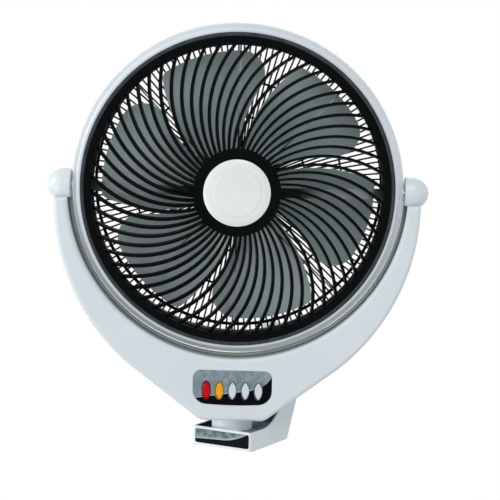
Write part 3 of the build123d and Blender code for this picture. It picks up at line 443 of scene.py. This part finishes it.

# %% [markdown]
# ## Painted shade across a piece
# The tray inside the bracket is painted with its shade: black to the left of the stem and on its
# walls, and a shaded blue grey to the right. The spider that carries the grille is a smoky grey,
# with painted shade where it meets the hub and where it runs under the rim. Each is one material
# with a mask worked out from places on the piece, and the mask marks the painted shade.

# %% The tray and its painted shade
tray_low, tray_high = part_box("tray_liner")
tray_side_skin = 0.0026         # metres, the side walls and a little more
tray_scale = 120.0
# Both tones are painted shade: black where the tray lies in deep shade, a shaded blue grey to the right.
tray_painted_shade = (0.008, 0.01, 0.012)
tray_shaded_tones = ((0.1, 0.16, 0.18), (0.2, 0.29, 0.32))


def tray_finish():
    finish = new_finish("tray with painted shade in black and blue grey", (0.24, 0.36, 0.4), 0.6, Specular_IOR_Level=0.0)
    x, _, _ = split_axes(finish, object_place(finish))
    # The right half, off its wall, gets the lighter painted shade; the rest gets the black.
    past_middle = math_node(finish, "GREATER_THAN", x, (tray_low.x + tray_high.x) / 2)
    off_wall = math_node(finish, "LESS_THAN", x, tray_high.x - tray_side_skin)
    lighter_shade_mask = math_node(finish, "MULTIPLY", past_middle, off_wall)
    light = flecked_tones(finish, tray_shaded_tones, tray_scale)
    into_shader(finish, mix_colours(finish, lighter_shade_mask, tray_painted_shade, light), "Base Color")
    grain_bump(finish)
    return finish


tray_plastic = tray_finish()
print("tray from x", round(tray_low.x, 4), "to", round(tray_high.x, 4))

# %% The spider and its painted shade
spider_hub_shade = (0.014, 0.016, 0.017)
spider_light = (0.38, 0.43, 0.435)
spider_rim_shade = (0.05, 0.055, 0.06)
# Shares of the way from the axis to the rim, each with its tone; the dark ones are painted shade.
spider_stops = ((0.0, spider_hub_shade), (0.42, spider_hub_shade), (0.58, spider_light),
                (0.88, spider_light), (0.93, spider_rim_shade))


def ramp_colours(finish, value, high, stops):
    # Spread a value from 0 to high over a colour ramp with the given (share, colour) stops.
    spread = add_node(finish, "ShaderNodeMapRange")
    spread.inputs["From Max"].default_value = high
    link(finish, value, spread.inputs["Value"])
    ramp = add_node(finish, "ShaderNodeValToRGB")
    for index, (share, colour) in enumerate(stops):
        stop = ramp.color_ramp.elements[index] if index < 2 else ramp.color_ramp.elements.new(share)
        stop.position = share
        stop.color = (*colour, 1)
    link(finish, spread.outputs["Result"], ramp.inputs["Fac"])
    return ramp.outputs["Color"]


def spider_finish():
    # Tone by distance from the hub: painted shade by the hub, the grey's own tone over the blades, then
    # painted shade at the rim.
    finish = new_finish("smoky grey with painted shade by radius", (0.3, 0.34, 0.345), 0.35, Specular_IOR_Level=0.1)
    low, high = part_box("grille_spider")
    rim = (high.z - low.z) / 2
    colour = ramp_colours(finish, radius_of(finish, head_frame), rim, spider_stops)
    into_shader(finish, colour, "Base Color")
    grain_bump(finish, 0.04)
    print("spider's rim at radius", round(rim, 4))
    return finish


arm_plastic = spider_finish()

# %% [markdown]
# ## Painted shade on the yoke's inner edge
# The crescent is pale all over but for the wall that faces the drum, which gets a greyer band of
# painted shade, the shade that the shroud casts there. The two shells share one finish, and a mask
# finds the wall: near enough to the pivots' centre, and ahead of the crescent's rear face, which
# stays pale.

# %% Painted shade on the yoke's inner edge
yoke_inner_radius = 0.2472      # metres, the edge that follows the drum
yoke_rear_z = -0.0148           # just ahead of the crescent's rear face
# A grey painted as the shade on the wall that faces the drum.
yoke_painted_shade = (0.32, 0.37, 0.36)


def yoke_finish():
    finish = new_finish("pale plastic with painted shade on its inner edge", pale_colour, **pale_gloss)
    near_drum = math_node(finish, "LESS_THAN", radius_of(finish, yoke_frame), yoke_inner_radius)
    _, _, z = split_axes(finish, face_place(finish, yoke_frame))
    ahead = math_node(finish, "GREATER_THAN", z, yoke_rear_z)
    # The mask of the painted shade: the wall that faces the drum.
    painted_shade_mask = math_node(finish, "MULTIPLY", near_drum, ahead)
    colour = mix_colours(finish, painted_shade_mask, clouds(finish, pale_tones), yoke_painted_shade)
    into_shader(finish, colour, "Base Color")
    grain_bump(finish)
    return finish


yoke_plastic = yoke_finish()

# %% [markdown]
# ## Dress the solids
# Each solid gets its finish by name, in the material slots that it already has, so neither its
# mesh nor its place is touched.

# %% Dress the solids
finish_of = {
    "wall_plate": plate_metal, "bracket_shell": pale_plastic, "bracket_floor": pale_plastic,
    "tray_liner": tray_plastic, "badge_plate": badge_film, "swing_bearing": nylon,
    "swing_motor": motor_metal, "swing_pinion": nylon, "stem": stem_painted_light, "swing_gear": nylon,
    "yoke_front_shell": yoke_plastic, "yoke_rear_shell": yoke_plastic, "control_panel": panel_film,
    "circuit_board": green_board, "key_switches": switch_grey, "button_off": button_red,
    "button_swing": button_amber, "button_high": button_white, "button_mid": button_white,
    "button_low": button_white, "pivot_caps": knob_plastic, "pivot_pins": bright_steel,
    "shroud": pale_plastic, "bezel_ring": ring_plastic, "front_grille": black_plastic,
    "grille_spider": arm_plastic, "hub_cap": cap_plastic, "rear_grille": rib_plastic,
    "motor_case": motor_metal, "motor_cover": cover_plastic, "impeller": blade_plastic,
    "motor_shaft": bright_steel, "blade_nut": cover_plastic,
}
for name, finish in finish_of.items():
    for place in nodes[name].material_slots:
        place.material = finish
print("dressed", len(finish_of), "solids; left:", sorted(set(nodes) - set(finish_of)))

# %% [markdown]
# ## The swirl grille
# Sixty slats run from the hub ring to the rim in one smooth swirl, on a domed front. The solid
# model has them in a few straight spans, which is enough for a collision shape. The eye follows
# these curves more than anything else on the fan, so the grille is made again here with fine
# spans. One slat is a small upright face that is extruded step by step, and each step carries the
# new end to its place on the curve: it turns back slowly by the hub and faster towards the rim.
# Spin then copies the slat round the hub, and turns the sections of both rings.

# %% A slat's measures and its place on the swirl
slat_count = 60
slat_steps = 30
slat_thick = 0.0031             # by the hub, and how much more it is further out
slat_thick_gain = 0.0007
slat_cant = math.radians(11.0)  # lean by the hub, and how much more it is further out
slat_cant_gain = math.radians(3.0)
slat_gain_end = 0.6             # share of the way out where both stop growing
slat_turn = math.radians(29.0)
slat_bend = 0.2415              # how much slower a slat turns by the hub than at the rim
slat_start = 0.0619             # radius of its first and last section
slat_end = 0.2156
hub_depth = 0.008               # height of a slat by the hub and at the rim
rim_depth = 0.006
dome_radius = 0.83742
dome_centre = -0.78901


def dome_height(radius):
    # Height of the slats' front above the tilt axis.
    return dome_centre + math.sqrt(dome_radius ** 2 - radius ** 2)


def slat_place(share):
    # Takes a unit square to the slat's upright section at a share of the way out.
    radius = slat_start + (slat_end - slat_start) * share
    turn = slat_turn * (share + slat_bend * share * (share - 1))
    turn_rate = slat_turn * (1 + slat_bend * (2 * share - 1))
    heading = -turn - math.atan2(radius * turn_rate, slat_end - slat_start)
    depth = hub_depth + (rim_depth - hub_depth) * share
    gain = min(share / slat_gain_end, 1.0)
    cant = slat_cant + slat_cant_gain * gain
    along = Vector((math.cos(heading), math.sin(heading), 0))
    across = Vector((-along.y, along.x, 0))
    upright = across * math.sin(cant) + Vector((0, 0, math.cos(cant)))
    centre = Vector((radius * math.cos(-turn), radius * math.sin(-turn), dome_height(radius) - depth / 2))
    side = along.cross(upright)
    return face_frame(upright * depth, side * (slat_thick + slat_thick_gain * gain), along, centre)


print("slat front at the hub", round(dome_height(slat_start), 4),
      "and at the rim", round(dome_height(slat_end), 4))


# %% Slats by extrusion and spin
def swirl_slats(build):
    bmesh.ops.create_grid(build, x_segments=1, y_segments=1, size=0.5)
    end_face = build.faces[:][0]
    bmesh.ops.transform(build, matrix=slat_place(0), verts=build.verts)
    for step in range(1, slat_steps + 1):
        carry = slat_place(step / slat_steps) @ slat_place((step - 1) / slat_steps).inverted()
        grown = bmesh.ops.extrude_face_region(build, geom=[end_face])["geom"]
        if step > 1:
            bmesh.ops.delete(build, geom=[end_face], context="FACES_ONLY")
        end_face = [part for part in grown if isinstance(part, bmesh.types.BMFace)][0]
        bmesh.ops.transform(build, matrix=carry, verts=end_face.verts)
    print("faces of one slat", len(build.faces))
    slat = list(build.verts) + list(build.edges) + list(build.faces)
    bmesh.ops.spin(build, geom=slat, cent=(0, 0, 0), axis=(0, 0, 1), steps=slat_count - 1,
                   angle=2 * math.pi * (slat_count - 1) / slat_count, use_duplicate=True)


# %% Rings by spin
ring_steps = 180
rim_ring_inner = 0.2144         # radii in metres, and heights above the tilt axis
rim_ring_outer = 0.2254
rim_ring_rear = 0.014
black_ring_inner = 0.212
rim_ring_front = dome_height(black_ring_inner)
hub_ring_outer = 0.0635
hub_ring_step = 0.0577          # the ring's front is a little higher inside this radius
hub_ring_bore = 0.0486
hub_ring_shelf = 0.0446         # inner edge of the shelf that the cap's foot stands on
hub_ring_rear = 0.0374
hub_shelf_front = 0.0419
hub_step_front = 0.0473
hub_ring_front = 0.0482
outer_bevel = 0.0004
step_bevel = 0.0003
rim_profile = ((rim_ring_inner, rim_ring_rear), (rim_ring_outer, rim_ring_rear),
               (rim_ring_outer, rim_ring_front), (rim_ring_inner, rim_ring_front))
hub_profile = ((hub_ring_shelf, hub_ring_rear), (hub_ring_outer, hub_ring_rear),
               (hub_ring_outer, hub_step_front - outer_bevel),
               (hub_ring_outer - outer_bevel, hub_step_front),
               (hub_ring_step, hub_step_front), (hub_ring_step, hub_ring_front - step_bevel),
               (hub_ring_step - step_bevel, hub_ring_front), (hub_ring_bore, hub_ring_front),
               (hub_ring_bore, hub_shelf_front), (hub_ring_shelf, hub_shelf_front))


def ring_by_spin(build, profile):
    # Turn a closed profile of (radius, height) points into a ring about the z axis.
    corners = [build.verts.new((radius, 0, height)) for radius, height in profile]
    edges = [build.edges.new((corners[index - 1], corners[index])) for index in range(len(corners))]
    bmesh.ops.spin(build, geom=corners + edges, cent=(0, 0, 0), axis=(0, 0, 1), angle=2 * math.pi,
                   steps=ring_steps, use_merge=True)


# %% The whole grille
def finished_piece(name, build, finish):
    # Turn a bmesh into an object at the origin, with its place in its mesh.
    mesh = bpy.data.meshes.new(name)
    build.to_mesh(mesh)
    build.free()
    mesh.materials.append(finish)
    piece = bpy.data.objects.new(name, mesh)
    bpy.context.scene.collection.objects.link(piece)
    print(name, "faces", len(mesh.polygons))
    return piece


build = bmesh.new()
swirl_slats(build)
ring_by_spin(build, rim_profile)
ring_by_spin(build, hub_profile)
bmesh.ops.recalc_face_normals(build, faces=list(build.faces))
bmesh.ops.transform(build, matrix=head_frame, verts=build.verts)
swirl_grille = finished_piece("swirl_grille", build, black_plastic)
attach(swirl_grille, "head")
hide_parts("front_grille")

# %% [markdown]
# ## Painted shade round the keys
# Each key stands in an oval rim of painted shade, dark red round the red one, dark amber round the
# amber one and grey round the rest, where the key's well is shaded. It could be a mask in the film,
# but a thin ring catches the light at its edge. A circle is stretched to the oval, its inner edge is
# drawn in to the leaf shape of the key with the same clearance as the well, and the face between
# them gets a thickness.

# %% The shape of a rim
leaf_half_width = 0.0059        # the key's own half width with its clearance
leaf_half_height = 0.0129
rim_thick = 0.0004
rim_corners = 64
merge_distance = 0.00001
panel_face_z = max((yoke_frame.inverted() @ vertex.co).z for vertex in nodes["control_panel"].data.vertices)
print("panel's face ahead of the pivots", round(panel_face_z, 4))


def leaf_half_at(height):
    # Half the width of the leaf at a height: two arcs that meet in a point.
    arc = (leaf_half_height ** 2 + leaf_half_width ** 2) / (2 * leaf_half_width)
    return max(math.sqrt(max(arc ** 2 - height ** 2, 0.0)) - (arc - leaf_half_width), 0.0)


def key_shade_rim(name, key, half_width, half_height, finish):
    key_low, key_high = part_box(key)
    middle = yoke_frame.inverted() @ ((key_low + key_high) / 2)
    build = bmesh.new()
    outer = bmesh.ops.create_circle(build, segments=rim_corners, radius=1.0)["verts"]
    inner = bmesh.ops.create_circle(build, segments=rim_corners, radius=1.0)["verts"]
    for vertex in outer:
        vertex.co = Vector((vertex.co.x * half_width, vertex.co.y * half_height, 0))
    for vertex in inner:
        height = vertex.co.y * leaf_half_height
        side = 1 if vertex.co.x > 0 else -1
        vertex.co = Vector((side * leaf_half_at(height), height, 0))
    bmesh.ops.bridge_loops(build, edges=list(build.edges))
    bmesh.ops.solidify(build, geom=list(build.faces), thickness=rim_thick)
    bmesh.ops.remove_doubles(build, verts=list(build.verts), dist=merge_distance)
    bmesh.ops.recalc_face_normals(build, faces=list(build.faces))
    bmesh.ops.translate(build, verts=build.verts, vec=(middle.x, middle.y, panel_face_z + rim_thick))
    bmesh.ops.transform(build, matrix=yoke_frame, verts=build.verts)
    return finished_piece(name, build, finish)


# %% Rims of painted shade round the keys
rim_scale = 200.0
rim_light_gain = 1.3            # how much lighter the clouds' light tone is than the dark one


def shade_rim_finish(name, colour):
    finish = new_finish(name, colour, 0.35, Specular_IOR_Level=0.1)
    light = tuple(part * rim_light_gain for part in colour)
    into_shader(finish, clouds(finish, (colour, light), rim_scale), "Base Color")
    return finish


# Darker copies of the keys' colours, painted as the shade in each key's well.
rim_shade_red = shade_rim_finish("painted shade round the red key", (0.13, 0.004, 0.012))
rim_shade_amber = shade_rim_finish("painted shade round the amber key", (0.3, 0.17, 0.02))
rim_shade_grey = shade_rim_finish("painted shade round a white key", (0.1, 0.115, 0.13))
# Each row is a rim's name, its key, half its width and height in metres, its finish and its slot.
rims = (("shade_rim_off", "button_off", 0.0069, 0.0142, rim_shade_red, "button_red"),
        ("shade_rim_swing", "button_swing", 0.0067, 0.0136, rim_shade_amber, "button_yellow"),
        ("shade_rim_high", "button_high", 0.0064, 0.0134, rim_shade_grey, "panel_plastic"),
        ("shade_rim_mid", "button_mid", 0.0064, 0.0134, rim_shade_grey, "panel_plastic"),
        ("shade_rim_low", "button_low", 0.0064, 0.0134, rim_shade_grey, "panel_plastic"))
for rim_name, key, half_width, half_height, finish, slot in rims:
    rim = key_shade_rim(rim_name, key, half_width, half_height, finish)
    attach(rim, "yoke")

# %% [markdown]
# ## Screws
# The covers are held by small pan-head screws, seen only from behind and from below. A screw's
# head is a grid drawn round into a disc and domed, and the cross in its middle is sunk by an
# extrusion. A flat disc with a drawn cross would do from afar, but the dome and the cross catch the
# light as the real ones do. One head is made and then copied to each place, so a cover's screws
# are one piece.

# %% A screw's head
screw_radius = 0.0034
screw_height = 0.0019
screw_cells = 7                 # faces across the head
screw_dome_drop = 0.55          # share of the height that the dome loses towards its rim
cross_depth = 0.0011
cross_arm = screw_radius / screw_cells * 1.3
cross_reach = screw_radius * 0.7


def corners_of(geometry):
    return [part for part in geometry if isinstance(part, bmesh.types.BMVert)]


def in_cross(face):
    # Whether a face's middle lies in one of the cross's two bars.
    centre = face.calc_center_median()
    near, far = sorted((abs(centre.x), abs(centre.y)))
    return near < cross_arm and far < cross_reach


def screw_heads(name, places, finish):
    # places are matrices whose z points out of the surface that the head sits on.
    build = bmesh.new()
    bmesh.ops.create_grid(build, x_segments=screw_cells, y_segments=screw_cells, size=1.0)
    for vertex in build.verts:
        u, v = vertex.co.x, vertex.co.y
        x, y = u * math.sqrt(1 - v * v / 2), v * math.sqrt(1 - u * u / 2)
        dome = 1 - screw_dome_drop * min(x * x + y * y, 1.0)
        vertex.co = Vector((x * screw_radius, y * screw_radius, screw_height * dome))
    cross = [face for face in build.faces if in_cross(face)]
    sunk = bmesh.ops.extrude_face_region(build, geom=cross)["geom"]
    bmesh.ops.delete(build, geom=cross, context="FACES")
    bmesh.ops.translate(build, verts=corners_of(sunk), vec=(0, 0, -cross_depth))
    rim_edges = [edge for edge in build.edges if edge.is_boundary]
    skirt = bmesh.ops.extrude_edge_only(build, edges=rim_edges)["geom"]
    for corner in corners_of(skirt):
        corner.co.z = 0
    bmesh.ops.recalc_face_normals(build, faces=list(build.faces))
    first = list(build.verts) + list(build.edges) + list(build.faces)
    for place in places[1:]:
        copy = bmesh.ops.duplicate(build, geom=first)["geom"]
        bmesh.ops.transform(build, matrix=place, verts=corners_of(copy))
    bmesh.ops.transform(build, matrix=places[0], verts=corners_of(first))
    return finished_piece(name, build, finish)


def facing_back(frame_matrix, x, y, z):
    return frame_matrix @ Matrix.Translation((x, y, z)) @ Matrix.Rotation(math.pi, 4, "Y")


# %% Screws of the motor's cover
cover_screw_count = 4
cover_screw_radius = 0.036
cover_screw_turn = 22.5         # degrees from the head frame's x axis to the first one
cover_z = min((head_frame.inverted() @ vertex.co).z for vertex in nodes["motor_cover"].data.vertices)
cover_places = []
for index in range(cover_screw_count):
    angle = math.radians(cover_screw_turn + 360 * index / cover_screw_count)
    cover_places.append(facing_back(head_frame, cover_screw_radius * math.cos(angle),
                                    cover_screw_radius * math.sin(angle), cover_z))
cover_screws = screw_heads("cover_screws", cover_places, bright_steel)
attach(cover_screws, "head")

# %% Screws of the yoke's rear shell
shell_z = -0.015                # metres, rear face of the crescent in the yoke's frame
crescent_screws = ((-20, 0.259), (-44, 0.265), (-66, 0.275))    # degrees above level, radius
crescent_places = []
for degrees, radius in crescent_screws:
    angle = math.radians(degrees)
    for side in (-1, 1):
        crescent_places.append(facing_back(yoke_frame, side * radius * math.cos(angle),
                                           radius * math.sin(angle), shell_z))
yoke_screws = screw_heads("yoke_screws", crescent_places, bright_steel)
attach(yoke_screws, "yoke")

# %% Screws of the bracket's floor
floor_low, floor_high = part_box("bracket_floor")
floor_inset = 0.007
floor_places = [Matrix.Translation((x, y, floor_low.z)) @ Matrix.Rotation(math.pi, 4, "X")
                for x in (floor_low.x + floor_inset, floor_high.x - floor_inset)
                for y in (floor_low.y + floor_inset, floor_high.y - floor_inset)]
floor_screws = screw_heads("floor_screws", floor_places, bright_steel)
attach(floor_screws, "bracket")

# %% [markdown]
# ## The floor
# A pale floor lies well below the fan and catches its soft shadow. Lit as it is, it would show as a
# grey patch against the white backdrop. Stronger lamps would clear it and spoil the fan, so the
# camera sees most of the floor as plain white, while everything else sees the matt surface.

# %% The floor
floor_drop = 1.7            # metres below the fan's lowest point
floor_half = 3.2
floor_glow = 0.92           # share of plain white that the camera sees in the floor


def floor_finish():
    finish = new_finish("pale floor", grey(0.85), 0.8)
    shader_nodes = finish.node_tree.nodes
    white = add_node(finish, "ShaderNodeEmission")
    white.inputs["Color"].default_value = (1, 1, 1, 1)
    path = add_node(finish, "ShaderNodeLightPath")
    seen_share = math_node(finish, "MULTIPLY", path.outputs["Is Camera Ray"], floor_glow)
    mix = add_node(finish, "ShaderNodeMixShader")
    link(finish, seen_share, mix.inputs["Fac"])
    link(finish, shader_nodes["Principled BSDF"].outputs["BSDF"], mix.inputs[1])
    link(finish, white.outputs["Emission"], mix.inputs[2])
    link(finish, mix.outputs["Shader"], shader_nodes["Material Output"].inputs["Surface"])
    return finish


build = bmesh.new()
bmesh.ops.create_grid(build, x_segments=1, y_segments=1, size=floor_half)
bmesh.ops.translate(build, verts=build.verts, vec=(0, 0, cad_low.z - floor_drop))
floor = finished_piece("floor", build, floor_finish())

# %% [markdown]
# ## The world
# The photograph is cut out on white. So the world is plain white to the camera and to shiny or
# clear surfaces, and only a dim grey to everything else. One bright world for all would wash out
# the shadows between the slats.

# %% The world
ambient_level = 0.55
ambient_tint = (0.97, 0.985, 1.0)
world = bpy.data.worlds.new("studio") if bpy.context.scene.world is None else bpy.context.scene.world
bpy.context.scene.world = world
world.use_nodes = True
tree = world.node_tree
tree.nodes.clear()


def world_background(colour, strength):
    node = tree.nodes.new("ShaderNodeBackground")
    node.inputs["Color"].default_value = (*colour, 1)
    node.inputs["Strength"].default_value = strength
    return node.outputs[0]


rays = tree.nodes.new("ShaderNodeLightPath")
seen = rays.outputs["Is Camera Ray"]
for ray_kind in ("Is Glossy Ray", "Is Transmission Ray"):
    either = tree.nodes.new("ShaderNodeMath")
    either.operation = "MAXIMUM"
    tree.links.new(seen, either.inputs[0])
    tree.links.new(rays.outputs[ray_kind], either.inputs[1])
    seen = either.outputs[0]
choose = tree.nodes.new("ShaderNodeMixShader")
out = tree.nodes.new("ShaderNodeOutputWorld")
tree.links.new(seen, choose.inputs["Fac"])
tree.links.new(world_background(ambient_tint, ambient_level), choose.inputs[1])
tree.links.new(world_background((1, 1, 1), 1.0), choose.inputs[2])
tree.links.new(choose.outputs[0], out.inputs["Surface"])
print("world nodes:", len(tree.nodes))

# %% [markdown]
# ## Lamps
# Large soft lamps light the fan, as in a product studio: a strong one from the left, a key from the
# upper right, a low one from the left that lifts the undersides, and weak ones from the right and
# from behind. One small lamp would throw a hard shadow of every slat on the blades. Each lamp is a
# square at an offset from the head's centre and looks at it.

# %% Lamps
def soft_lamp(name, offset, size, power):
    lamp = bpy.data.lights.new(name, "AREA")
    lamp.shape = "SQUARE"
    lamp.size = size
    lamp.energy = power
    holder = bpy.data.objects.new(name, lamp)
    bpy.context.scene.collection.objects.link(holder)
    holder.location = head_centre + Vector(offset)
    holder.rotation_euler = (-Vector(offset)).to_track_quat("-Z", "Y").to_euler()
    print("lamp:", name, power, "W")


soft_lamp("key", (1.4, -1.65, 1.95), 1.6, 25)
soft_lamp("left", (-2.3, -1.6, 0.7), 1.4, 31)
soft_lamp("low left", (-1.3, -2.3, -1.2), 1.4, 17)
soft_lamp("right", (2.8, -0.6, 0.3), 1.2, 3)
soft_lamp("rear", (-0.8, 2.4, 1.4), 1.6, 10)

# %% [markdown]
# ## Camera
# The viewing angle, the distance and the roll were fitted to the photograph's outlines: the
# camera stands to the right of the bracket and a little above, rolled by a degree and a half. Its
# matrix is built from three directions, which say more plainly where it looks than angles do.

# %% Camera
camera_azimuth = math.radians(28.58)
camera_elevation = math.radians(6.17)
camera_roll = math.radians(1.47)
camera_distance = 2.6
aim_right = 0.0201
aim_drop = 0.0901
sensor_width = 36.0
focal_pixels = 1771.4
picture_width = 500.0

swing_axis = Vector(joints["swing"]["pos_m"])
to_camera = Vector((math.sin(camera_azimuth) * math.cos(camera_elevation),
                    -math.cos(camera_azimuth) * math.cos(camera_elevation), math.sin(camera_elevation)))
view_right = Vector((math.cos(camera_azimuth), math.sin(camera_azimuth), 0))
view_up = to_camera.cross(view_right)
aim = Vector((swing_axis.x, swing_axis.y, head_centre.z - aim_drop)) + view_right * aim_right
right = view_right * math.cos(camera_roll) + view_up * math.sin(camera_roll)
up = view_up * math.cos(camera_roll) - view_right * math.sin(camera_roll)
camera_data = bpy.data.cameras.new("camera")
camera_data.sensor_width = sensor_width
camera_data.lens = focal_pixels / picture_width * sensor_width
camera = bpy.data.objects.new("camera", camera_data)
bpy.context.scene.collection.objects.link(camera)
camera.matrix_world = face_frame(right, up, to_camera, aim + to_camera * camera_distance)
bpy.context.scene.camera = camera
bpy.context.scene.view_settings.view_transform = "Standard"
print("camera at", [round(v, 3) for v in camera.matrix_world.translation], "lens", round(camera_data.lens, 1))
